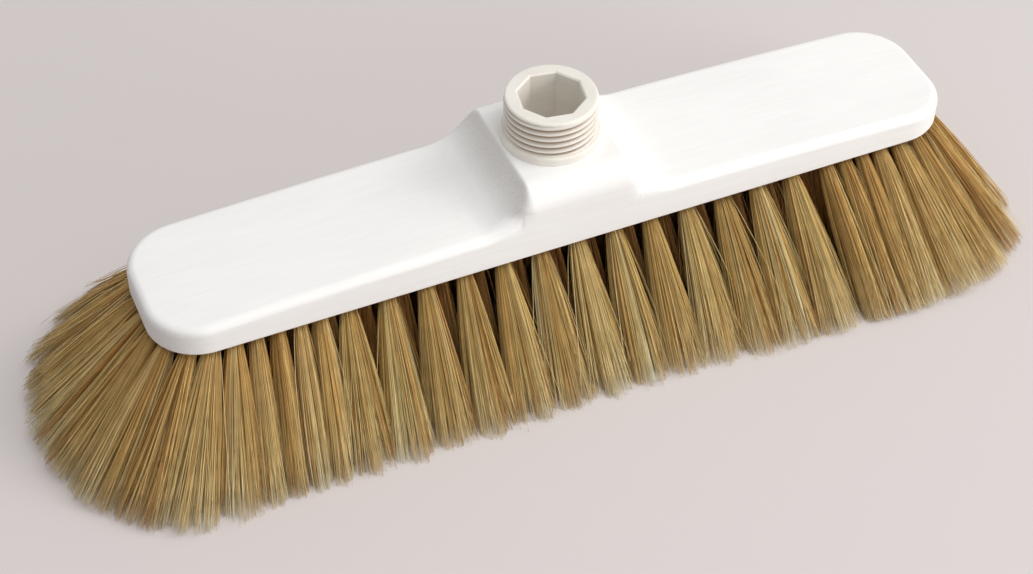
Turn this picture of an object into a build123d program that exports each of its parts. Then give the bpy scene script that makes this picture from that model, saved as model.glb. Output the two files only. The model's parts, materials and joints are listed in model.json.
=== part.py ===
import math
import os

from build123d import *

# Block: a board with a crowned top and a raised saddle in the middle, lengths in mm.
# Z = 0 is the plane the bristle tips stand on; X runs along the block.
block_length = 400
block_width = 72.5
block_thickness = 18.8
end_thickness = 13.8
block_corner_radius = 25
block_edge_radius = 3.2
underside_edge_radius = 1
underside_z = 60

saddle_half_length = 25
saddle_height = 37.4
saddle_shoulder_radius = 12
ramp_run = 24

# Handle socket: a threaded ring with an eight-sided bore, and a stem sunk in the saddle.
socket_rim_height = 60.5
collar_radius = 23.3
collar_height = 4
thread_core_radius = 20.5
thread_depth = 1.2
thread_pitch = 3.4
thread_ridge_share = 0.76
thread_count = 4
rim_radius = 21.3
rim_height = 2.6
rim_chamfer = 0.6
bore_corner_radius = 15.7
bore_angle = 13
bore_depth = 38
bore_chamfer = 0.7
stem_radius = 19
stem_floor = 6
stem_clearance = 0.05

# Bristle tufts: bundles that lean away from a line along the middle of the block.
hole_radius = 2.5
hole_depth = 9
tuft_root_radius = 2.45
tuft_root_depth = 8.7
tuft_neck = 3
tuft_length = 78
wide_tip_radius = 8.5
close_tip_radius = 5.2
tilt_per_mm = 1.18
spine_share = 0.955
spine_half_length = 154

row_pitch = 18.7
row_gap = 14.5
outer_row_y = 2 * row_gap
middle_half_count = 6
ring_start_x = {-1: 125.5, 1: 131}
ring_inset = block_width / 2 - outer_row_y
ring_corner_radius = block_corner_radius - ring_inset
ring_count = {-1: 19, 1: 18}
inner_end_start_x = 120
inner_end_pitch = 13
inner_end_count = 5

# Wire anchors: flat wire driven across each hole, through the folded tuft and into the wood.
anchor_length = 6.6
anchor_thickness = 0.5
anchor_height = 2
anchor_depth = 5.5

tolerance = 0.01

# On a tuft's plane, which faces down: a solid that stands up into the block, or hangs below it.
UPWARD = (Align.CENTER, Align.CENTER, Align.MAX)
DOWNWARD = (Align.CENTER, Align.CENTER, Align.MIN)


def lean_from_spine(x, y):
    """The horizontal vector from the middle line of the block to a tuft's root."""
    spine_x = min(spine_share * abs(x), spine_half_length)
    return math.copysign(abs(x) - spine_x, x), y


def tuft_plane(x, y):
    """A plane at a tuft's root: its Z runs down along the tuft, its X runs across the lean."""
    lean_x, lean_y = lean_from_spine(x, y)
    lean = math.hypot(lean_x, lean_y)
    if lean < tolerance:
        return Plane(origin=(x, y, underside_z), x_dir=(1, 0, 0), z_dir=(0, 0, -1))
    tilt = math.radians(tilt_per_mm * lean)
    out_x = lean_x / lean
    out_y = lean_y / lean
    axis = (out_x * math.sin(tilt), out_y * math.sin(tilt), -math.cos(tilt))
    return Plane(origin=(x, y, underside_z), x_dir=(-out_y, out_x, 0), z_dir=axis)


def middle_row(y, half_steps):
    """Roots of one long row in the middle of the block, at half_steps times half a pitch."""
    return [(step * row_pitch / 2, y) for step in half_steps]


def end_ring(side):
    """Roots of the outer ring round one end: along the front, round the end and along the back."""
    corner_x = block_length / 2 - block_corner_radius
    corner_y = outer_row_y - ring_corner_radius
    straight = corner_x - ring_start_x[side]
    arc = ring_corner_radius * math.pi / 2
    total = 2 * (straight + arc + corner_y)
    roots = []
    for index in range(ring_count[side]):
        travel = index * total / (ring_count[side] - 1)
        half_travel = min(travel, total - travel)
        sign_y = -1 if travel <= total / 2 else 1
        if half_travel <= straight:
            x = ring_start_x[side] + half_travel
            y = outer_row_y
        elif half_travel <= straight + arc:
            angle = (half_travel - straight) / ring_corner_radius
            x = corner_x + ring_corner_radius * math.sin(angle)
            y = corner_y + ring_corner_radius * math.cos(angle)
        else:
            x = corner_x + ring_corner_radius
            y = corner_y - (half_travel - straight - arc)
        roots.append((side * x, sign_y * y))
    return roots


def end_inner(side):
    """Roots of the two inner rows at one end."""
    xs = [inner_end_start_x + index * inner_end_pitch for index in range(inner_end_count)]
    return [(side * x, y) for x in xs for y in (-row_gap, row_gap)]


def end_centre(side):
    """Roots of the centre row at one end, between the inner rows' holes."""
    start = inner_end_start_x + inner_end_pitch / 2
    return [(side * (start + index * inner_end_pitch), 0) for index in range(inner_end_count)]


even_steps = range(-2 * middle_half_count, 2 * middle_half_count + 1, 2)
odd_steps = range(1 - 2 * middle_half_count, 2 * middle_half_count, 2)

tuft_groups = {
    "front_outer": (middle_row(-outer_row_y, even_steps), wide_tip_radius),
    "front_inner": (middle_row(-row_gap, odd_steps), wide_tip_radius),
    "centre": (middle_row(0, even_steps), wide_tip_radius),
    "back_inner": (middle_row(row_gap, odd_steps), wide_tip_radius),
    "back_outer": (middle_row(outer_row_y, even_steps), wide_tip_radius),
    "left_end_ring": (end_ring(-1), close_tip_radius),
    "left_end_inner": (end_inner(-1), close_tip_radius),
    "left_end_centre": (end_centre(-1), close_tip_radius),
    "right_end_ring": (end_ring(1), close_tip_radius),
    "right_end_inner": (end_inner(1), close_tip_radius),
    "right_end_centre": (end_centre(1), close_tip_radius),
}


def anchor_planes(tuft_planes):
    """The planes at the middle of the wire anchors, up in the drilled holes."""
    return [plane.offset(-anchor_depth) for plane in tuft_planes]


def save(part, label):
    part.label = label
    export_step(part, f"parts/{label}.step")


def on_top_rim(edge):
    """Is an edge on the rim round one lowered half of the block, up the ramp and along the crest?"""
    middle = edge @ 0.5
    lowest = min((edge @ 0).Z, middle.Z, (edge @ 1).Z)
    beside_crest = abs(middle.X) > saddle_half_length - tolerance
    ramp_foot = abs(abs(middle.X) - foot_x) < tolerance
    return lowest > end_z - tolerance and beside_crest and not ramp_foot


os.makedirs("parts", exist_ok=True)

all_planes = [tuft_plane(x, y) for roots, _ in tuft_groups.values() for x, y in roots]
half_length = block_length / 2
end_z = underside_z + end_thickness
saddle_z = underside_z + saddle_height
rim_z = underside_z + socket_rim_height
stem_z = rim_z - bore_depth - stem_floor

# The top is an arc from end to end. A ramp starts on it at its foot, without a kink.
crown = block_thickness - end_thickness
crown_radius = (half_length**2 + crown**2) / (2 * crown)
foot_x = saddle_half_length + ramp_run
foot_slope = math.asin(foot_x / crown_radius)
foot_z = underside_z + block_thickness - crown_radius * (1 - math.cos(foot_slope))

# The block: outline, side profile and cross-section, softened along the edges, then drilled.
with BuildPart() as broom_block:
    with BuildSketch(Plane.XY.offset(underside_z)):
        RectangleRounded(block_length, block_width, block_corner_radius)
    extrude(amount=saddle_height)

    with BuildSketch(Plane.XZ):
        with BuildLine():
            right_end = (half_length, end_z)
            right_foot = (foot_x, foot_z)
            right_crest = (saddle_half_length, saddle_z)
            left_crest = (-saddle_half_length, saddle_z)
            left_foot = (-foot_x, foot_z)
            left_end = (-half_length, end_z)
            RadiusArc(right_end, right_foot, -crown_radius)
            TangentArc(right_foot, right_crest, tangent=(-math.cos(foot_slope), math.sin(foot_slope)))
            Line(right_crest, left_crest)
            TangentArc(left_foot, left_crest, tangent=(math.cos(foot_slope), math.sin(foot_slope)))
            RadiusArc(left_foot, left_end, -crown_radius)
            Polyline(left_end, (-half_length, underside_z), (half_length, underside_z), right_end)
        make_face()
    extrude(amount=block_width / 2, both=True, mode=Mode.INTERSECT)

    with BuildSketch(Plane.YZ):
        with Locations((0, underside_z + saddle_height / 2)):
            Rectangle(block_width, saddle_height)
        top_corners = [v for v in vertices() if v.Y > underside_z + saddle_height / 2]
        fillet(top_corners, saddle_shoulder_radius)
    extrude(amount=half_length, both=True, mode=Mode.INTERSECT)
    fillet([edge for edge in edges() if on_top_rim(edge)], block_edge_radius)
    fillet(edges().group_by(Axis.Z)[0], underside_edge_radius)

    with Locations((0, 0, saddle_z)):
        Hole(stem_radius + stem_clearance, depth=saddle_z - stem_z)
    with Locations(all_planes):
        Cylinder(hole_radius, 2 * hole_depth, mode=Mode.SUBTRACT)
    with Locations(anchor_planes(all_planes)):
        Box(anchor_length, anchor_thickness, anchor_height, mode=Mode.SUBTRACT)
save(broom_block.part, "broom_block")

# Tufts and their anchors, one node of each per group. A tuft is a stem in its hole and a flared
# cone below it, cut off level with the floor, with a slot where the anchor holds it.
for name, (roots, tip_radius) in tuft_groups.items():
    planes = [tuft_plane(x, y) for x, y in roots]
    with BuildPart() as tufts:
        with Locations([plane.offset(tuft_neck) for plane in planes]):
            Cylinder(tuft_root_radius, tuft_neck + tuft_root_depth, align=UPWARD)
            Cone(tuft_root_radius, tip_radius, tuft_length - tuft_neck, align=DOWNWARD)
        with Locations(anchor_planes(planes)):
            Box(anchor_length, anchor_thickness, anchor_height, mode=Mode.SUBTRACT)
        split(bisect_by=Plane.XY, keep=Keep.TOP)
    save(tufts.part, f"{name}_tufts")

    with BuildPart() as anchors:
        with Locations(anchor_planes(planes)):
            Box(anchor_length, anchor_thickness, anchor_height)
    save(anchors.part, f"{name}_anchors")

# The handle socket: collar, threaded core and stem, with the eight-sided bore down the middle.
with BuildPart() as handle_socket:
    with BuildSketch(Plane.XY.offset(stem_z)):
        Circle(stem_radius)
    extrude(amount=saddle_z - stem_z)
    with BuildSketch(Plane.XY.offset(saddle_z)):
        Circle(collar_radius)
    extrude(amount=collar_height)
    with BuildSketch(Plane.XY.offset(saddle_z + collar_height)):
        Circle(thread_core_radius)
    extrude(amount=rim_z - saddle_z - collar_height)
    with BuildSketch(Plane.XY.offset(rim_z - rim_height)):
        Circle(rim_radius)
    extrude(amount=rim_height)
    chamfer(edges().group_by(Axis.Z)[-1], rim_chamfer)

    thread_middle = (saddle_z + collar_height + rim_z - rim_height) / 2
    with BuildSketch(Plane.XZ):
        with Locations((thread_core_radius, thread_middle)):
            with GridLocations(0, thread_pitch, 1, thread_count):
                Ellipse(thread_depth, thread_ridge_share * thread_pitch / 2)
    revolve(axis=Axis.Z)

    with BuildSketch(Plane.XY.offset(rim_z)):
        RegularPolygon(bore_corner_radius, 8, rotation=bore_angle)
    extrude(amount=-bore_depth, mode=Mode.SUBTRACT)
    bore_mouth = edges().group_by(Axis.Z)[-1].filter_by(GeomType.LINE)
    chamfer(bore_mouth, bore_chamfer)
save(handle_socket.part, "handle_socket")
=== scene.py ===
import json
import math

import bmesh
import bpy
import numpy as np
from mathutils import Matrix, Vector
from mathutils.geometry import delaunay_2d_cdt

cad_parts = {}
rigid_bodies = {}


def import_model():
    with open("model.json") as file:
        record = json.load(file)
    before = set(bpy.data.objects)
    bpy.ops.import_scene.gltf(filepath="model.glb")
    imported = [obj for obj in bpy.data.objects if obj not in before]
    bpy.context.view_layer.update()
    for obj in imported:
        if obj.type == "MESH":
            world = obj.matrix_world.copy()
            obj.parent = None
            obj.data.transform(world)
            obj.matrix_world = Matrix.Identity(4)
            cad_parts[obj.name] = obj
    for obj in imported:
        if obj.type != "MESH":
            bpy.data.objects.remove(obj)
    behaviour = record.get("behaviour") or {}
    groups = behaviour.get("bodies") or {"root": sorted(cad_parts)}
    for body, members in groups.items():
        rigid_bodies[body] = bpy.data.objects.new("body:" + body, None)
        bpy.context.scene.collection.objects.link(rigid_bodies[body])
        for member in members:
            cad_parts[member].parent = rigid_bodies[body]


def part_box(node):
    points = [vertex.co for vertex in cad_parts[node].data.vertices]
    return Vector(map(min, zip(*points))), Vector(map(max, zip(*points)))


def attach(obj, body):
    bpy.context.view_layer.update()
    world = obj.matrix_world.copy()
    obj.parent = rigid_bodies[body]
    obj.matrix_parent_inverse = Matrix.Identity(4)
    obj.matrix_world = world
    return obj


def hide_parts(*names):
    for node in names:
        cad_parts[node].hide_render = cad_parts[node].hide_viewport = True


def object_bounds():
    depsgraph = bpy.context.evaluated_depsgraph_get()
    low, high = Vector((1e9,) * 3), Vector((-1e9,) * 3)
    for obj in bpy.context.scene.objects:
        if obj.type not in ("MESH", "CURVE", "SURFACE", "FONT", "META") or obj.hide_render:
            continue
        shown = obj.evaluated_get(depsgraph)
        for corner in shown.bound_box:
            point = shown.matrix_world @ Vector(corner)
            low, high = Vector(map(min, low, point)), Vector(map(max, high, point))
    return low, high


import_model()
cad_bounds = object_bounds()

MM = 0.001
random = np.random.default_rng(7)

# Driving sizes, from the CAD boxes. X runs along the block, Z is up, the bristle tips stand on Z = 0.
block_low, block_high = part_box("broom_block")
socket_low, socket_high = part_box("handle_socket")
underside_z = block_low[2]
saddle_z = block_high[2]
half_length = block_high[0]
half_width = block_high[1]
rim_z = socket_high[2]
stem_z = socket_low[2]
collar_radius = socket_high[0]

# Block, the same sizes as the CAD part's, but for the softened edge round its top, which is wider
# here, widest at the front of a ramp's foot, and crisp at the crest. The top is an arc from end to
# end; a ramp is an arc that starts on it at its foot, without a kink.
board_z = underside_z + 18.8 * MM
end_z = underside_z + 13.8 * MM
corner_radius = 25 * MM
edge_radius = 4 * MM
foot_edge_radius = 9 * MM
foot_edge_climb = 0.25
foot_edge_reach = 0.22
crest_radius = 1.4 * MM
crest_edge_climb = 0.6
underside_edge = 1 * MM
saddle_half_length = 25 * MM
shoulder_radius = 12 * MM
ramp_run = 24 * MM
foot_x = saddle_half_length + ramp_run
crown = board_z - end_z
crown_radius = (half_length**2 + crown**2) / (2 * crown)
foot_slope = math.asin(foot_x / crown_radius)
foot_z = board_z - crown_radius * (1 - math.cos(foot_slope))
ramp_rise = saddle_z - foot_z
ramp_reach = ramp_rise * math.cos(foot_slope) - ramp_run * math.sin(foot_slope)
ramp_radius = (ramp_run**2 + ramp_rise**2) / (2 * ramp_reach)
ramp_centre_x = foot_x + ramp_radius * math.sin(foot_slope)
ramp_centre_z = foot_z + ramp_radius * math.cos(foot_slope)
stem_radius = 19 * MM
stem_clearance = 0.05 * MM
crest_band_start = 21 * MM
stem_hole_sides = 96
tuft_hole_sides = 16
# How far the lacquer greys: painted shade on the left ramp, wear and painted shade round the left end.
ramp_painted_shade = 0.65
end_wear_and_shade = 0.75

# Socket: one helical groove starts under the rim, winds down and fades out above the collar.
socket_sides = 128
rim_radius = 21.4 * MM
rim_edge = 1.1 * MM
crest_of_thread = 21.7 * MM
crest_reached = 2.6 * MM
thread_pitch = 3.4 * MM
thread_step = 0.2 * MM
groove_start = 0.9 * MM
groove_run_in = 0.25
groove_depth = 2.1 * MM
groove_sharpness = 1.7
groove_fade = 1.2 * MM
collar_height = 4 * MM
collar_edge = 1.2 * MM
centre_hole = 0.02 * MM
bore_corner_radius = 15.7 * MM
bore_chamfer = 0.7 * MM
bore_angle = math.radians(13)
bore_depth = 38 * MM

# Tuft layout, the same rules as the CAD part's, but for the lean. It grows, in degrees, with the
# distance from the middle line to the tuft's root, up to the steepest tilt, and is eased at the
# corners. end_lean scales the distance along the block by end, row_lean the distance across it by x.
row_pitch = 18.7 * MM
row_gap = 14.5 * MM
outer_row_y = 2 * row_gap
middle_half_count = 6
ring_start_x = {-1: 125.5 * MM, 1: 131 * MM}
ring_corner_radius = corner_radius - (half_width - outer_row_y)
ring_count = {-1: 19, 1: 18}
inner_end_start_x = 120 * MM
inner_end_pitch = 13 * MM
inner_end_count = 5
tilt_per_metre = 1.24 / MM
steepest_tilt = 45.5
corner_ease = 4
end_lean = {-1: 1, 1: 0.62}
row_lean_x = (-150 * MM, 30 * MM, 140 * MM)
row_lean = (0.97, 1, 1.15)
spine_share = 0.955
spine_half_length = 154 * MM
hole_radius = 2.5 * MM
hole_depth = 9 * MM

# Hair: a tuft's fibres hang together in locks, and a few of them stray. None is further out than
# hair_reach, and all are trimmed level with the floor, a little unevenly.
root_radius = 2.4 * MM
hidden_root = 4 * MM
fibre_segments = 5
fibre_radius = 0.15 * MM
tip_taper = 0.35
locks_in_tuft = 24
lock_pull = 0.15
lock_scatter = 0.05
fibre_scatter = 0.06
fibre_bend = 0.7 * MM
lock_bend = 0.5 * MM
stray_share = 0.015
stray_spread = 0.8
lock_length_spread = 0.006
fibre_length_range = (0.975, 1.01)
flare_power = 0.98
uneven_trim = 2.5 * MM
least_trim = 0.2 * MM
hair_floor = 0.15 * MM
hair_reach = np.array(cad_bounds[1][:2]) + 13 * MM
tip_overlap = 0.68
narrowest_tip = 7 * MM
widest_tip = 15 * MM

# A fibre's shade, from nought, dark, to one, pale: how far fibres, locks and tufts spread from the
# middle shade, and how much paler a stray fibre is.
fibre_shade_spread = 0.18
lock_shade_spread = 0.15
tuft_shade_spread = 0.03
stray_shade = 0.2

# Where the camera stands, in degrees and metres: round the socket's axis, above the floor, rolled,
# away from the middle of the block's underside, and moved aside in its own picture plane.
view_azimuth = -23.80
view_elevation = 45.61
view_roll = 0.36
view_distance = 0.98306
view_right = -0.01511
view_up = -0.04485
lens_mm = 72.64
sensor_mm = 36


def new_object(name, data):
    """An object of a mesh, a lamp or a camera, in the scene."""
    item = bpy.data.objects.new(name, data)
    bpy.context.scene.collection.objects.link(item)
    return item


def new_material(name, base, roughness):
    """A material with one Principled shader, and that shader."""
    material = bpy.data.materials.new(name)
    material.use_nodes = True
    shader = material.node_tree.nodes["Principled BSDF"]
    shader.inputs["Base Color"].default_value = (*base, 1)
    shader.inputs["Roughness"].default_value = roughness
    return material, shader


def stretched_noise(tree, stretch, scale, detail):
    """Noise in object space, stretched by a factor for each axis. Returns its Factor socket."""
    place = tree.nodes.new("ShaderNodeTexCoord")
    mapping = tree.nodes.new("ShaderNodeMapping")
    mapping.inputs["Scale"].default_value = stretch
    noise = tree.nodes.new("ShaderNodeTexNoise")
    noise.inputs["Scale"].default_value = scale
    noise.inputs["Detail"].default_value = detail
    tree.links.new(place.outputs["Object"], mapping.inputs["Vector"])
    tree.links.new(mapping.outputs["Vector"], noise.inputs["Vector"])
    return noise.outputs["Fac"]


def attribute(tree, name):
    """The value that a mesh holds on its points under a name."""
    node = tree.nodes.new("ShaderNodeAttribute")
    node.attribute_name = name
    return node.outputs["Fac"]


def ramp(tree, factor, stops):
    """A colour ramp with (position, colour) stops. Returns its Color socket."""
    node = tree.nodes.new("ShaderNodeValToRGB")
    elements = node.color_ramp.elements
    for element, (position, colour) in zip(elements, (stops[0], stops[-1])):
        element.position = position
        element.color = (*colour, 1)
    for position, colour in stops[1:-1]:
        elements.new(position).color = (*colour, 1)
    tree.links.new(factor, node.inputs["Fac"])
    return node.outputs["Color"]


def grey(value):
    """The same value for red, green and blue."""
    return (value, value, value)


def add_bump(tree, shader, height, strength, distance):
    """Bumps of that height in metres, on the shader's normal."""
    bump = tree.nodes.new("ShaderNodeBump")
    bump.inputs["Strength"].default_value = strength
    bump.inputs["Distance"].default_value = distance
    tree.links.new(height, bump.inputs["Height"])
    tree.links.new(bump.outputs["Normal"], shader.inputs["Normal"])


def multiply(tree, first, second):
    """One colour multiplied by another."""
    node = tree.nodes.new("ShaderNodeMix")
    node.data_type = "RGBA"
    node.blend_type = "MULTIPLY"
    node.inputs["Factor"].default_value = 1
    tree.links.new(first, node.inputs["A"])
    tree.links.new(second, node.inputs["B"])
    return node.outputs["Result"]


def lacquer_material():
    """White lacquer brushed on wood: fine streaks along it, painted shade on the left ramp, wear and
    painted shade at the left end.
    """
    material, shader = new_material("white_lacquer", (0.9, 0.89, 0.87), 0.5)
    tree = material.node_tree
    streaks = stretched_noise(tree, (30, 900, 900), 1, 4)
    grain = stretched_noise(tree, (400, 1800, 1800), 1, 2)
    clouds = stretched_noise(tree, (12, 30, 30), 1, 3)
    streak_tone = ramp(tree, streaks, [(0.35, grey(0.97)), (0.65, grey(1))])
    cloud_tone = ramp(tree, clouds, [(0.35, (0.885, 0.875, 0.86)), (0.6, (0.905, 0.9, 0.885))])
    # Painted shade on the left ramp, wear and painted shade round the left end, broken up by the grain.
    rubbed_and_shaded = multiply(tree, attribute(tree, "wear_and_shade"), grain)
    rubbed_and_shaded_tone = ramp(tree, rubbed_and_shaded, [(0.05, grey(1)), (0.6, (0.7, 0.665, 0.645))])
    base = multiply(tree, multiply(tree, streak_tone, cloud_tone), rubbed_and_shaded_tone)
    tree.links.new(base, shader.inputs["Base Color"])
    rough = ramp(tree, streaks, [(0.3, grey(0.6)), (0.7, grey(0.75))])
    tree.links.new(rough, shader.inputs["Roughness"])
    shader.inputs["Specular IOR Level"].default_value = 0.2
    add_bump(tree, shader, streaks, 0.2, 0.0002)
    return material


def plastic_material():
    """Ivory moulded plastic, slightly waxy, with faint flow clouds, a fine skin and painted shade in the
    thread's groove.
    """
    material, shader = new_material("ivory_plastic", (0.82, 0.79, 0.71), 0.36)
    tree = material.node_tree
    clouds = stretched_noise(tree, (1, 1, 2), 90, 3)
    skin = stretched_noise(tree, (1, 1, 1), 2400, 2)
    tone = ramp(tree, clouds, [(0.3, (0.79, 0.75, 0.68)), (0.7, (0.84, 0.805, 0.74))])
    # Painted shade: the thread's groove is darker the deeper it goes.
    groove_shade = ramp(tree, attribute(tree, "grooved"), [(0.1, grey(1)), (0.85, (0.5, 0.4, 0.31))])
    tree.links.new(multiply(tree, tone, groove_shade), shader.inputs["Base Color"])
    rough = ramp(tree, clouds, [(0.3, grey(0.3)), (0.7, grey(0.42))])
    tree.links.new(rough, shader.inputs["Roughness"])
    shader.inputs["Subsurface Weight"].default_value = 0.12
    shader.inputs["Subsurface Radius"].default_value = (0.004, 0.003, 0.002)
    add_bump(tree, shader, skin, 0.12, 0.0001)
    return material


def hair_material():
    """Blond hair: each fibre has its own shade, with painted shade at the root, pale tips that are partly
    their own colour and partly painted highlight, and a redder tint painted for light that came through
    other hair."""
    material, shader = new_material("blond_hair", (0.5, 0.36, 0.18), 0.42)
    tree = material.node_tree
    own = ramp(
        tree,
        attribute(tree, "shade"),
        [
            (0.0, (0.34, 0.14, 0.04)),
            (0.2, (0.54, 0.31, 0.09)),
            (0.5, (0.71, 0.50, 0.185)),
            (0.8, (0.79, 0.63, 0.28)),
            (1.0, (0.84, 0.73, 0.42)),
        ],
    )
    # Painted shade darkens the hair towards the root under the block; the pale, bluer tips are partly their
    # own paler ends and partly painted highlight.
    length = ramp(
        tree,
        attribute(tree, "along"),
        [
            (0.0, (0.8, 0.72, 0.62)),
            (0.3, (0.97, 0.94, 0.9)),
            (0.7, grey(1)),
            (0.9, (1.08, 1.12, 1.3)),
            (1.0, (1.22, 1.4, 2.1)),
        ],
    )
    # Painted light: hair lit by light that came through other hair is tinted redder near the block.
    through_light_tone = ramp(tree, attribute(tree, "through_light_tint"), [(0.0, grey(1)), (1.0, (1.14, 0.86, 0.72))])
    streaks = stretched_noise(tree, (1, 1, 1), 160, 2)
    streak_tone = ramp(tree, streaks, [(0.3, grey(0.88)), (0.7, grey(1.05))])
    tone = multiply(tree, multiply(tree, own, length), multiply(tree, through_light_tone, streak_tone))
    tree.links.new(tone, shader.inputs["Base Color"])
    shader.inputs["Specular IOR Level"].default_value = 0.2
    return material


def wire_material():
    """Drawn steel wire with fine scratches along it."""
    material, shader = new_material("anchor_wire", (0.55, 0.55, 0.54), 0.35)
    tree = material.node_tree
    scratches = stretched_noise(tree, (1, 40, 1), 300, 2)
    rough = ramp(tree, scratches, [(0.3, grey(0.28)), (0.7, grey(0.45))])
    tree.links.new(rough, shader.inputs["Roughness"])
    shader.inputs["Metallic"].default_value = 1
    return material


def floor_material():
    """Plain pale studio floor."""
    return new_material("studio_floor", (0.67, 0.62, 0.61), 0.8)[0]


def rounded_max(first, second, radius):
    """The larger of two distances, with the edge where they meet rounded to that radius."""
    inside = np.minimum(-radius, np.maximum(first, second))
    return inside + np.hypot(np.maximum(first + radius, 0), np.maximum(second + radius, 0))


def box_distance(first, second, radius):
    """Distance to a corner of that radius, from the two distances past where the corner starts."""
    inside = np.minimum(np.maximum(first, second), 0)
    return inside + np.hypot(np.maximum(first, 0), np.maximum(second, 0)) - radius


def block_distance(points):
    """How far points are outside the block: board, hollow ramps, saddle and softened edges."""
    x = np.abs(points[..., 0])
    y = np.abs(points[..., 1])
    z = points[..., 2]
    outline = box_distance(x - half_length + corner_radius, y - half_width + corner_radius, corner_radius)
    shoulder = box_distance(
        y - half_width + shoulder_radius, z - saddle_z + shoulder_radius, shoulder_radius
    )
    hollow = ramp_radius - np.hypot(x - ramp_centre_x, z - ramp_centre_z)
    crowned = np.hypot(x, z - board_z + crown_radius) - crown_radius
    top = np.where(x > foot_x, crowned, hollow)
    climb = (z - foot_z) / ramp_rise
    edge = np.interp(climb, (crest_edge_climb, 1), (edge_radius, crest_radius))
    off_foot = (climb - foot_edge_climb) / foot_edge_reach
    at_front_foot = np.exp(-(off_foot**2)) * (points[..., 1] < 0)
    edge = edge + (foot_edge_radius - edge_radius) * at_front_foot
    upper = rounded_max(np.maximum(outline, shoulder), top, edge)
    return rounded_max(upper, underside_z - z, underside_edge)


def settle(points, distance):
    """Points moved onto the surface where the distance is nought."""
    step = 0.002 * MM
    for _ in range(8):
        here = distance(points)
        slope = np.stack([(distance(points + step * axis) - here) / step for axis in np.eye(3)], axis=-1)
        size = np.maximum((slope**2).sum(axis=-1), 0.2)
        points = points - slope * (here / size)[..., None]
    return points


def band(reach, degrees):
    """Distances from a sharp corner that settle at even angles round a rounding of that reach."""
    return reach * (1 - np.tan(np.radians(degrees)))


def top_height(x):
    """Height of the block's top along its middle line."""
    x = np.abs(x)
    board = board_z - crown_radius + np.sqrt(crown_radius**2 - x**2)
    run = np.clip(ramp_centre_x - x, 0, ramp_centre_x - saddle_half_length)
    ramp_top = ramp_centre_z - np.sqrt(ramp_radius**2 - run**2)
    return np.where(x > foot_x, board, ramp_top)


def side_stations():
    """X of the columns along one long side, from the left corner to the right one."""
    flat = np.linspace(0, crest_band_start, 8)
    crest = saddle_half_length - band(2 * crest_radius, np.arange(0, 45, 9))
    steepest = math.asin((ramp_centre_x - saddle_half_length) / ramp_radius)
    angle = steepest + (foot_slope - steepest) * np.linspace(0, 1, 44) ** 1.2
    board = np.linspace(foot_x, half_length - corner_radius, 24)[1:]
    x = np.concatenate([flat, crest, ramp_centre_x - ramp_radius * np.sin(angle), board])
    return np.concatenate([-x[:0:-1], x])


def end_stations():
    """The columns round the right end from front to back: outward normal, and y of its centre."""
    corner_y = half_width - corner_radius
    turn = np.radians(np.arange(3, 90, 3))
    front = [(math.sin(a), -math.cos(a), -corner_y) for a in turn]
    middle = [(1, 0, y) for y in np.linspace(-corner_y, corner_y, 7)]
    back = [(math.cos(a), math.sin(a), corner_y) for a in turn]
    return front + middle + back


def block_columns():
    """Columns round the block: x, y, outward normal and x on the middle line."""
    corner_x = half_length - corner_radius
    front = [(x, -half_width, 0, -1, x) for x in side_stations()]
    right = [
        (corner_x + nx * corner_radius, y + ny * corner_radius, nx, ny, corner_x)
        for nx, ny, y in end_stations()
    ]
    back = [(-x, -y, -nx, -ny, -middle_x) for x, y, nx, ny, middle_x in front + right]
    return np.array(front + right + back)


def block_grid(columns):
    """Points on the block (column, row, xyz), from the underside out, up and in to the middle line, and
    the row where the saddle's flat top starts."""
    x, y, nx, ny, middle_x = columns.T
    top_z = top_height(x)
    rise = np.clip(top_z - saddle_z + shoulder_radius, 0, shoulder_radius)
    cut_in = shoulder_radius - np.sqrt(shoulder_radius**2 - rise**2)
    reach = edge_radius + cut_in * (1 - edge_radius / shoulder_radius)
    drop = np.maximum(edge_radius, rise)
    small = np.arange(0, 45, 11)
    fine = np.arange(0, 45, 5)

    rows = []

    def add(inset, height):
        """One row round the block, that far in from its outline."""
        rows.append(np.stack([x - nx * inset, y - ny * inset, height + 0 * x], axis=-1))

    for step in band(underside_edge, small):
        add(step, underside_z)
    add(0, underside_z)
    for step in band(underside_edge, small)[::-1]:
        add(0, underside_z + step)
    low = underside_z + underside_edge
    for share in (0.2, 0.4, 0.6, 0.8):
        add(0, low + (top_z - drop - low) * share)
    for degrees in fine:
        add(0, top_z - band(drop, degrees))
    add(0, top_z)
    for degrees in fine[::-1]:
        add(band(reach, degrees), top_z)
    flat_row = len(rows) - 1
    for extra in (1.5, 3, 4.5):
        add(reach + extra * MM, top_z)
    inner = rows[-1]
    centre = np.stack([middle_x, 0 * x, top_height(middle_x)], axis=-1)
    for share in (0.35, 0.7, 1):
        rows.append(inner + (centre - inner) * share)
    return settle(np.stack(rows, axis=1), block_distance), flat_row


def circle_points(centre, across, outward, count):
    """Points round an ellipse with those two half axes."""
    angle = np.linspace(0, 2 * math.pi, count, endpoint=False)[:, None]
    return centre + np.cos(angle) * across + np.sin(angle) * outward


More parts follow.
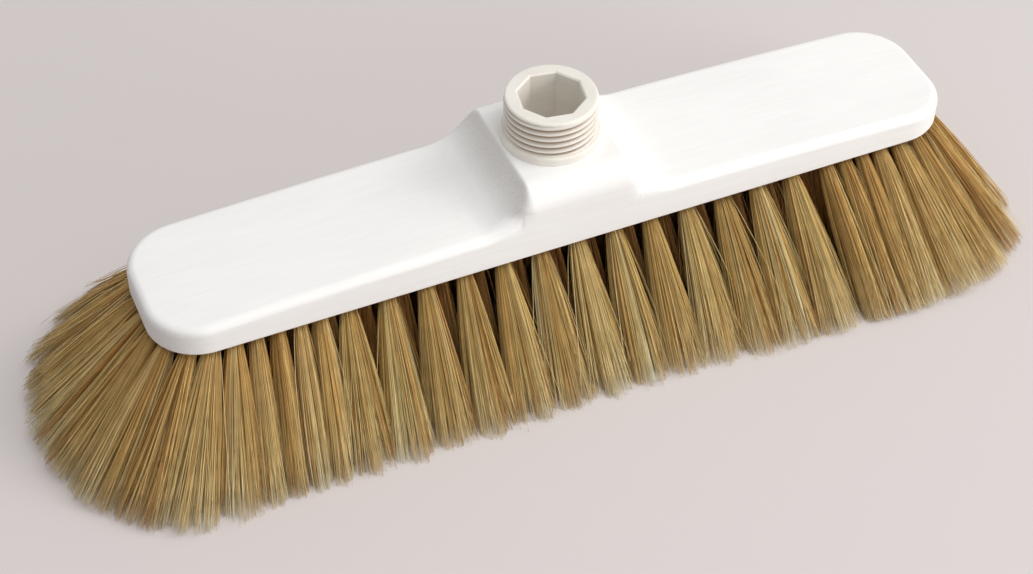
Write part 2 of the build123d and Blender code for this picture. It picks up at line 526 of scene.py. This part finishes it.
def flat_patch(border, loops):
    """Triangles that fill a flat convex border round some hole loops: their corners (n, 3, xyz)."""
    groups = [border] + loops
    points = np.concatenate(groups)
    edges = []
    first = 0
    for group in groups:
        count = len(group)
        edges += [(first + k, first + (k + 1) % count) for k in range(count)]
        first += count
    flat = [Vector(p[:2] / MM) for p in points]
    found, _, faces, _, _, _ = delaunay_2d_cdt(flat, edges, [], 0, 1e-4)
    corners = np.array([[(*found[k], 0) for k in face] for face in faces]) * MM
    corners[:, :, 2] = border[0, 2]
    middle = corners.mean(axis=1)
    keep = np.ones(len(corners), bool)
    for loop in loops:
        centre = loop.mean(axis=0)
        half = len(loop) // 2
        axis_a = loop[0] - centre
        axis_b = loop[half // 2] - centre
        away = middle - centre
        inside = (away @ axis_a / (axis_a @ axis_a)) ** 2 + (away @ axis_b / (axis_b @ axis_b)) ** 2 < 1
        keep &= ~inside
    return corners[keep]


def pocket(mouth, floor):
    """Faces of a blind hole from its mouth loop to its floor loop."""
    count = len(mouth)
    faces = []
    for k in range(count):
        n = (k + 1) % count
        faces.append(np.stack([mouth[k], mouth[n], floor[n], floor[k]]))
    return faces + [floor]


def welded_mesh(name, faces, sharp_degrees):
    """One mesh from loose faces given by their corners, welded, facing out, smooth but for sharp edges."""
    shape = bmesh.new()
    for corners in faces:
        shape.faces.new([shape.verts.new(corner) for corner in corners])
    bmesh.ops.remove_doubles(shape, verts=shape.verts, dist=0.004 * MM)
    bmesh.ops.dissolve_degenerate(shape, edges=shape.edges, dist=0.001 * MM)
    bmesh.ops.recalc_face_normals(shape, faces=shape.faces)
    mesh = bpy.data.meshes.new(name)
    shape.to_mesh(mesh)
    shape.free()
    mesh.shade_smooth()
    mesh.set_sharp_from_angle(angle=math.radians(sharp_degrees))
    return mesh


def mesh_points(mesh):
    """X, y and z of a mesh's points."""
    points = np.empty(len(mesh.vertices) * 3)
    mesh.vertices.foreach_get("co", points)
    return points.reshape(-1, 3).T


def hold(mesh, name, values):
    """Keep a value on each of a mesh's points, under a name."""
    mesh.attributes.new(name, "FLOAT", "POINT").data.foreach_set("value", values)


def add_wear_and_shade(mesh):
    """How far the lacquer is greyed at each point: painted shade on the left ramp under its crest, and wear
    with painted shade round the left end.
    """
    x, _, z = mesh_points(mesh)
    normals = np.empty(len(x) * 3)
    mesh.vertex_normals.foreach_get("vector", normals)
    leftward = -normals.reshape(-1, 3)[:, 0]
    upward = np.abs(normals.reshape(-1, 3)[:, 2])
    # The steep left ramp is greyed as painted shade; the left end's rounding and side get wear and painted
    # shade.
    on_left_ramp = (x > -foot_x) & (x < -0.9 * saddle_half_length) & (z > foot_z)
    steep = on_left_ramp * np.clip((leftward - 0.35) / 0.45, 0, 1)
    at_left_end = np.clip((-x - half_length + corner_radius) / corner_radius, 0, 1)
    off_top = np.clip((0.85 - upward) / 0.3, 0, 1)
    hold(mesh, "wear_and_shade", np.clip(ramp_painted_shade * steep + end_wear_and_shade * at_left_end * off_top, 0, 1))


def block_mesh(roots):
    """The block with its stem hole and every tuft's blind hole."""
    columns = block_columns()
    grid, flat_row = block_grid(columns)
    count = len(columns)
    on_saddle = np.abs(columns[:, 0]) < crest_band_start + 0.01 * MM
    faces = []
    for index in range(count):
        following = (index + 1) % count
        here = grid[index]
        there = grid[following]
        last = grid.shape[1] - 1
        if on_saddle[index] and on_saddle[following]:
            last = flat_row
        for row in range(last):
            faces.append((here[row], there[row], there[row + 1], here[row + 1]))

    front = [k for k in range(count) if on_saddle[k] and columns[k, 1] < 0]
    back = [k for k in range(count) if on_saddle[k] and columns[k, 1] > 0]
    border = []
    for near, far in ((front, back), (back, front)):
        border += [grid[k, flat_row] for k in near]
        border += list(grid[near[-1], flat_row + 1 :]) + list(grid[far[0], flat_row + 1 : -1][::-1])
    hole = stem_radius + stem_clearance
    sides = hole * np.eye(3)
    mouth = circle_points(np.array((0, 0, saddle_z)), sides[0], sides[1], stem_hole_sides)
    floor = circle_points(np.array((0, 0, stem_z)), sides[0], sides[1], stem_hole_sides)
    faces += list(flat_patch(np.array(border), [mouth])) + pocket(mouth, floor)

    loops = []
    for x, y in roots:
        across, outward, down = tuft_axes(x, y)
        root = np.array((x, y, underside_z))
        end = root - down * hole_depth
        wide = across * hole_radius
        level = np.cross(across, (0, 0, 1))
        stretch = hole_radius / -down[2]
        mouth = circle_points(root, wide, level * stretch * np.sign(level @ outward), tuft_hole_sides)
        floor = circle_points(end, wide, outward * hole_radius, tuft_hole_sides)
        loops.append(mouth)
        faces += pocket(mouth, floor)
    faces += list(flat_patch(grid[:, 0], loops))
    mesh = welded_mesh("block_surface", faces, 38)
    add_wear_and_shade(mesh)
    return mesh


def thread_radius(angle, depth_below_rim):
    """Outer radius of the threaded wall: the crest, less one groove that winds down clockwise."""
    widening = np.clip(depth_below_rim / crest_reached, 0, 1) ** 0.8
    envelope = rim_radius + (crest_of_thread - rim_radius) * widening
    turn = (1.5 * math.pi - angle) % (2 * math.pi) / (2 * math.pi)
    travel = (depth_below_rim - groove_start) / thread_pitch - turn
    nearest = np.round(travel)
    off_centre = np.abs(travel - nearest) * 2
    run = nearest + turn
    runs_in = np.clip(run / groove_run_in, 0, 1)
    wall_end = rim_z - saddle_z - collar_height
    runs_out = np.clip((wall_end - depth_below_rim) / groove_fade, 0, 1)
    return envelope - groove_depth * (1 - off_centre) ** groove_sharpness * runs_in * runs_out


def rounded_edge(radius, top, edge):
    """Radius and height of the rings round a rounded upper edge, from its top down to its side."""
    bends = np.radians(np.arange(0, 91, 15))
    return [(radius - edge * (1 - np.sin(bend)), top - edge * (1 - np.cos(bend))) for bend in bends]


def socket_mesh():
    """The handle socket as rings from the bore's floor, up and out over the rim and down the outside."""
    count = socket_sides
    angle = bore_angle + np.arange(count) * 2 * math.pi / count
    from_flat = (np.arange(count) * 360 / count + 22.5) % 45 - 22.5
    from_corner = 22.5 - np.abs(from_flat)
    in_octagon = 1 / np.cos(np.radians(from_corner))
    flat_radius = bore_corner_radius * math.cos(math.radians(22.5))
    ones = np.ones(count)
    floor_z = rim_z - bore_depth
    rings = [(ones * centre_hole, floor_z), (in_octagon * flat_radius * 0.97, floor_z)]
    rings += [(in_octagon * flat_radius, floor_z + 0.6 * MM)]
    rings += [(in_octagon * flat_radius, z) for z in np.linspace(floor_z + 2 * MM, rim_z - bore_chamfer, 8)]
    mouth = in_octagon * (flat_radius + bore_chamfer)
    rings += [(mouth, rim_z), (mouth * 0.6 + rim_radius * 0.4 * ones, rim_z)]

    rings += [(ones * radius, z) for radius, z in rounded_edge(rim_radius, rim_z, rim_edge)]
    wall_end = rim_z - saddle_z - collar_height
    for depth in np.arange(rim_edge + thread_step, wall_end, thread_step):
        rings.append((thread_radius(angle, depth), rim_z - depth))
    collar_z = saddle_z + collar_height
    rings.append((ones * (crest_of_thread - 0.1 * MM), collar_z))
    rings += [(ones * radius, z) for radius, z in rounded_edge(collar_radius, collar_z, collar_edge)]
    rings += [(ones * collar_radius, saddle_z), (ones * stem_radius, saddle_z)]
    rings += [(ones * stem_radius, stem_z), (ones * centre_hole, stem_z)]

    grid = np.array([np.stack([r * np.cos(angle), r * np.sin(angle), z * ones], axis=-1) for r, z in rings])
    faces = []
    for row in range(len(rings) - 1):
        for k in range(count):
            n = (k + 1) % count
            faces.append((grid[row, k], grid[row, n], grid[row + 1, n], grid[row + 1, k]))
    faces += [grid[0], grid[-1]]
    mesh = welded_mesh("socket_surface", faces, 35)
    add_groove_shade(mesh)
    return mesh


def add_groove_shade(mesh):
    """How deep each point of the socket lies in the thread's groove, from nought to one: how much painted
    shade it takes.
    """
    x, y, z = mesh_points(mesh)
    out = np.hypot(x, y)
    on_thread = (z > saddle_z + collar_height) & (z < rim_z - rim_edge - 0.1 * MM) & (out > stem_radius)
    hold(mesh, "grooved", np.clip((crest_of_thread - out) / groove_depth, 0, 1) * on_thread)


def stand_in(name, mesh, material, node):
    """A piece that is shown for a CAD node."""
    mesh.materials.append(material)
    piece = new_object(name, mesh)
    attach(piece, "root")
    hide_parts(node)


def middle_row(y, half_steps):
    """Roots of one long row in the middle of the block, at half_steps times half a pitch."""
    return [(step * row_pitch / 2, y) for step in half_steps]


def end_ring(side):
    """Roots of the outer ring round one end: along the front, round the end and along the back."""
    corner_x = half_length - corner_radius
    corner_y = outer_row_y - ring_corner_radius
    straight = corner_x - ring_start_x[side]
    arc = ring_corner_radius * math.pi / 2
    total = 2 * (straight + arc + corner_y)
    roots = []
    for index in range(ring_count[side]):
        travel = index * total / (ring_count[side] - 1)
        half_travel = min(travel, total - travel)
        sign_y = -1 if travel <= total / 2 else 1
        if half_travel <= straight:
            x = ring_start_x[side] + half_travel
            y = outer_row_y
        elif half_travel <= straight + arc:
            angle = (half_travel - straight) / ring_corner_radius
            x = corner_x + ring_corner_radius * math.sin(angle)
            y = corner_y + ring_corner_radius * math.cos(angle)
        else:
            x = corner_x + ring_corner_radius
            y = corner_y - (half_travel - straight - arc)
        roots.append((side * x, sign_y * y))
    return roots


def end_inner(side):
    """Roots of the two inner rows at one end."""
    xs = [inner_end_start_x + index * inner_end_pitch for index in range(inner_end_count)]
    return [(side * x, y) for x in xs for y in (-row_gap, row_gap)]


def end_centre(side):
    """Roots of the centre row at one end, between the inner rows' holes."""
    start = inner_end_start_x + inner_end_pitch / 2
    return [(side * (start + index * inner_end_pitch), 0) for index in range(inner_end_count)]


def tuft_axes(x, y):
    """Unit vectors across, outward and down a tuft that leans away from the block's middle line."""
    spine_x = min(spine_share * abs(x), spine_half_length)
    side = math.copysign(1, x)
    lean_x = side * (abs(x) - spine_x) * end_lean[side]
    lean_y = y * np.interp(x, row_lean_x, row_lean)
    lean = math.hypot(lean_x, lean_y)
    out = Vector((lean_x / lean, lean_y / lean, 0)) if lean > 1e-6 else Vector((0, 1, 0))
    at_corner = 2 * abs(out.x * out.y)
    tilt = math.radians(min(tilt_per_metre * lean, steepest_tilt - corner_ease * at_corner))
    down = Vector((out.x * math.sin(tilt), out.y * math.sin(tilt), -math.cos(tilt)))
    across = Vector((-out.y, out.x, 0))
    return np.array(across), np.array(across.cross(down)), np.array(down)


def tip_spread(roots, index):
    """Half the width of a tuft's tip: enough to meet the tips of its neighbours in the row."""
    tips = []
    for x, y in roots[max(index - 1, 0) : index + 2]:
        _, _, down = tuft_axes(x, y)
        tips.append(np.array((x, y)) - down[:2] * underside_z / down[2])
    gaps = [math.dist(first, second) for first, second in zip(tips, tips[1:])]
    return min(max(tip_overlap * sum(gaps) / len(gaps), narrowest_tip), widest_tip)


def tuft_fibres(x, y, wide, count, visible, deep):
    """Centre lines and shades of one tuft's fibres: arrays (fibre, point, xyz) and (fibre,). Its tip is
    wide across the lean and deep along it."""
    across, outward, down = tuft_axes(x, y)
    angle = random.uniform(0, 2 * math.pi, count)
    out = np.sqrt(random.uniform(0, 1, count))
    disc = np.stack([out * np.cos(angle), out * np.sin(angle)], axis=1)
    lock_angle = random.uniform(0, 2 * math.pi, locks_in_tuft)
    lock_out = np.sqrt(random.uniform(0, 1, locks_in_tuft))
    locks = np.stack([lock_out * np.cos(lock_angle), lock_out * np.sin(lock_angle)], axis=1)
    member = np.argmin(((disc[:, None] - locks[None]) ** 2).sum(axis=2), axis=1)
    lock_shift = random.normal(0, lock_scatter, (locks_in_tuft, 2))
    tip_disc = disc * (1 - lock_pull) + locks[member] * lock_pull + lock_shift[member]
    tip_disc = tip_disc + random.normal(0, fibre_scatter, (count, 2))
    stray = random.uniform(0, 1, count) < stray_share
    sideways = random.uniform(-stray_spread, stray_spread, (count, 2))
    tip_disc = (tip_disc + stray[:, None] * sideways) * np.array((wide, deep))
    bend = random.normal(0, fibre_bend, (count, 2)) * (1 + 2 * stray[:, None])
    bend = bend + random.normal(0, lock_bend, (locks_in_tuft, 2))[member]
    lock_length = visible * (1 + random.normal(0, lock_length_spread, locks_in_tuft))
    length = lock_length[member] * random.uniform(*fibre_length_range, count) + hidden_root

    t = np.linspace(0, 1, fibre_segments + 1)
    root = np.array((x, y, underside_z)) - down * hidden_root
    flare = t**flare_power
    offset = disc[:, None, :] * root_radius * (1 - t)[None, :, None]
    offset = offset + tip_disc[:, None, :] * flare[None, :, None]
    offset = offset + bend[:, None, :] * (t * (1 - t) * 4)[None, :, None]
    lines = root + down * (length[:, None] * t[None, :])[:, :, None]
    lines = lines + offset[:, :, :1] * across + offset[:, :, 1:] * outward

    trim = random.uniform(0, 1, count) ** 3 * uneven_trim + least_trim
    start_z = lines[:, 0, 2]
    drop = start_z - lines[:, -1, 2]
    keep = np.minimum(1, (start_z - trim) / drop)
    sampled = keep[:, None] * t[None, :] * fibre_segments
    low = np.minimum(sampled.astype(int), fibre_segments - 1)
    part = (sampled - low)[:, :, None]
    fibre = np.arange(count)[:, None]
    lines = lines[fibre, low] * (1 - part) + lines[fibre, low + 1] * part
    lines[:, :, 2] = np.maximum(lines[:, :, 2], hair_floor)
    lines[:, :, :2] = np.clip(lines[:, :, :2], -hair_reach, hair_reach)

    shade = 0.5 + random.normal(0, fibre_shade_spread, count)
    shade = shade + random.normal(0, lock_shade_spread, locks_in_tuft)[member]
    shade = shade + random.normal(0, tuft_shade_spread) + stray_shade * stray
    return lines, np.clip(shade, 0, 1)


def tubes_mesh(name, lines, shades, through_light_tint):
    """One mesh of three-sided tapering tubes round the lines. Each point knows how far along it is, its
    fibre's shade and how strongly it is painted redder for light that came through other hair."""
    count, points, _ = lines.shape
    tangent = np.gradient(lines, axis=1)
    tangent /= np.linalg.norm(tangent, axis=2, keepdims=True)
    side = np.cross(tangent, np.array((0.31, 0.95, 0.05)))
    side /= np.linalg.norm(side, axis=2, keepdims=True)
    other = np.cross(tangent, side)
    t = np.linspace(0, 1, points)
    radius = fibre_radius * (1 - tip_taper * t**2)
    turn = random.uniform(0, 2 * math.pi, count)
    corners = []
    for corner in range(3):
        angle = (turn + corner * 2 * math.pi / 3)[:, None, None]
        ring = np.cos(angle) * side + np.sin(angle) * other
        corners.append(lines + ring * radius[None, :, None])
    vertices = np.stack(corners, axis=2).reshape(-1, 3)

    first = np.arange(count)[:, None, None] * points * 3
    step = np.arange(points - 1)[None, :, None] * 3
    corner = np.arange(3)[None, None, :]
    following = (corner + 1) % 3
    base = first + step
    quads = np.stack([base + corner, base + following, base + 3 + following, base + 3 + corner], axis=3)
    quads = quads.reshape(-1, 4)
    tip = np.arange(count)[:, None] * points * 3 + (points - 1) * 3 + np.arange(3)[None, :]
    start = np.arange(count)[:, None] * points * 3 + np.array((2, 1, 0))[None, :]
    triangles = np.concatenate([tip, start])

    mesh = bpy.data.meshes.new(name)
    mesh.vertices.add(len(vertices))
    mesh.vertices.foreach_set("co", vertices.ravel())
    loops = np.concatenate([quads.ravel(), triangles.ravel()])
    mesh.loops.add(len(loops))
    mesh.loops.foreach_set("vertex_index", loops)
    sizes = np.concatenate([np.full(len(quads), 4), np.full(len(triangles), 3)])
    mesh.polygons.add(len(sizes))
    mesh.polygons.foreach_set("loop_start", np.concatenate([[0], np.cumsum(sizes)[:-1]]))
    along = t[None, :, None]
    # The painted redder tint fades out towards the tip.
    held = {"along": along, "shade": shades[:, None, None], "through_light_tint": through_light_tint * (1 - along**2)}
    for label, values in held.items():
        hold(mesh, label, np.broadcast_to(values, (count, points, 3)).ravel())
    mesh.update()
    mesh.validate()
    mesh.shade_smooth()
    return mesh


def make_floor(material):
    """A level floor under the bristle tips."""
    mesh = bpy.data.meshes.new("studio_floor")
    size = 6
    corners = [(-size, -size, 0), (size, -size, 0), (size, size, 0), (-size, size, 0)]
    mesh.from_pydata(corners, [], [(0, 1, 2, 3)])
    mesh.materials.append(material)
    floor = new_object("studio_floor", mesh)


def area_light(name, position, size, power, colour):
    """A soft square light that faces the broom."""
    data = bpy.data.lights.new(name, "AREA")
    data.shape = "SQUARE"
    data.size = size
    data.energy = power
    data.color = colour
    lamp = new_object(name, data)
    lamp.location = position
    lamp.rotation_euler = (-Vector(position)).to_track_quat("-Z", "Y").to_euler()


def set_world(strength):
    """White light from all round."""
    world = bpy.data.worlds.new("studio")
    world.use_nodes = True
    background = world.node_tree.nodes["Background"]
    background.inputs["Color"].default_value = (1, 1, 1, 1)
    background.inputs["Strength"].default_value = strength
    bpy.context.scene.world = world


def place_camera():
    """The camera, from its angles and distance."""
    azimuth = math.radians(view_azimuth)
    elevation = math.radians(view_elevation)
    roll = math.radians(view_roll)
    flat = math.cos(elevation)
    back = Vector((math.sin(azimuth) * flat, -math.cos(azimuth) * flat, math.sin(elevation)))
    right = Vector((math.cos(azimuth), math.sin(azimuth), 0))
    up = back.cross(right)
    spot = Vector((0, 0, underside_z)) + back * view_distance + right * view_right + up * view_up
    data = bpy.data.cameras.new("photo_view")
    data.lens = lens_mm
    data.sensor_width = sensor_mm
    camera = new_object("photo_view", data)
    turn = Matrix((right, up, back)).transposed().to_4x4() @ Matrix.Rotation(roll, 4, "Z")
    camera.matrix_world = Matrix.Translation(spot) @ turn
    bpy.context.scene.camera = camera


even_steps = range(-2 * middle_half_count, 2 * middle_half_count + 1, 2)
odd_steps = range(1 - 2 * middle_half_count, 2 * middle_half_count, 2)

# Each group of tufts: its roots, then how strongly its hair is painted redder near the block, the fibres in
# a tuft, their visible length and the depth of a tip. This redder tint is painted light: the inner rows
# stand in light that came through other hair, so they are painted the reddest.
outer = (0, 480, 84 * MM, 10 * MM)
inner = (1, 420, 82 * MM, 16 * MM)
ring = (0.2, 440, 84 * MM, 10 * MM)
end = (1, 360, 82 * MM, 12 * MM)
groups = {
    "front_outer": (middle_row(-outer_row_y, even_steps), outer),
    "back_outer": (middle_row(outer_row_y, even_steps), outer),
    "front_inner": (middle_row(-row_gap, odd_steps), inner),
    "back_inner": (middle_row(row_gap, odd_steps), inner),
    "centre": (middle_row(0, even_steps), inner),
    "left_end_ring": (end_ring(-1), ring),
    "left_end_inner": (end_inner(-1), end),
    "left_end_centre": (end_centre(-1), end),
    "right_end_ring": (end_ring(1), ring),
    "right_end_inner": (end_inner(1), end),
    "right_end_centre": (end_centre(1), end),
}

hair = hair_material()
for name, (roots, (through_light_tint, *look)) in groups.items():
    for index, (x, y) in enumerate(roots):
        lines, shades = tuft_fibres(x, y, tip_spread(roots, index), *look)
        piece = f"{name}_hair_{index + 1:02d}"
        mesh = tubes_mesh(piece, lines, shades, through_light_tint)
        stand_in(piece, mesh, hair, f"{name}_tufts")

all_roots = [root for roots, _ in groups.values() for root in roots]
stand_in("block_surface", block_mesh(all_roots), lacquer_material(), "broom_block")
stand_in("socket_surface", socket_mesh(), plastic_material(), "handle_socket")

wire = wire_material()
for item in bpy.data.objects:
    if item.name.endswith("_anchors"):
        item.material_slots[0].material = wire

make_floor(floor_material())
set_world(0.46)
area_light("key", (3.3, -0.9, 2.85), 2.1, 60, (1, 0.98, 0.96))
area_light("overhead", (0.4, -0.5, 2.4), 1.6, 23, (1, 1, 1))
area_light("low_fill", (1.4, -2.0, 0.6), 1, 21, (1, 0.98, 0.95))
place_camera()
bpy.context.scene.view_settings.view_transform = "Standard"
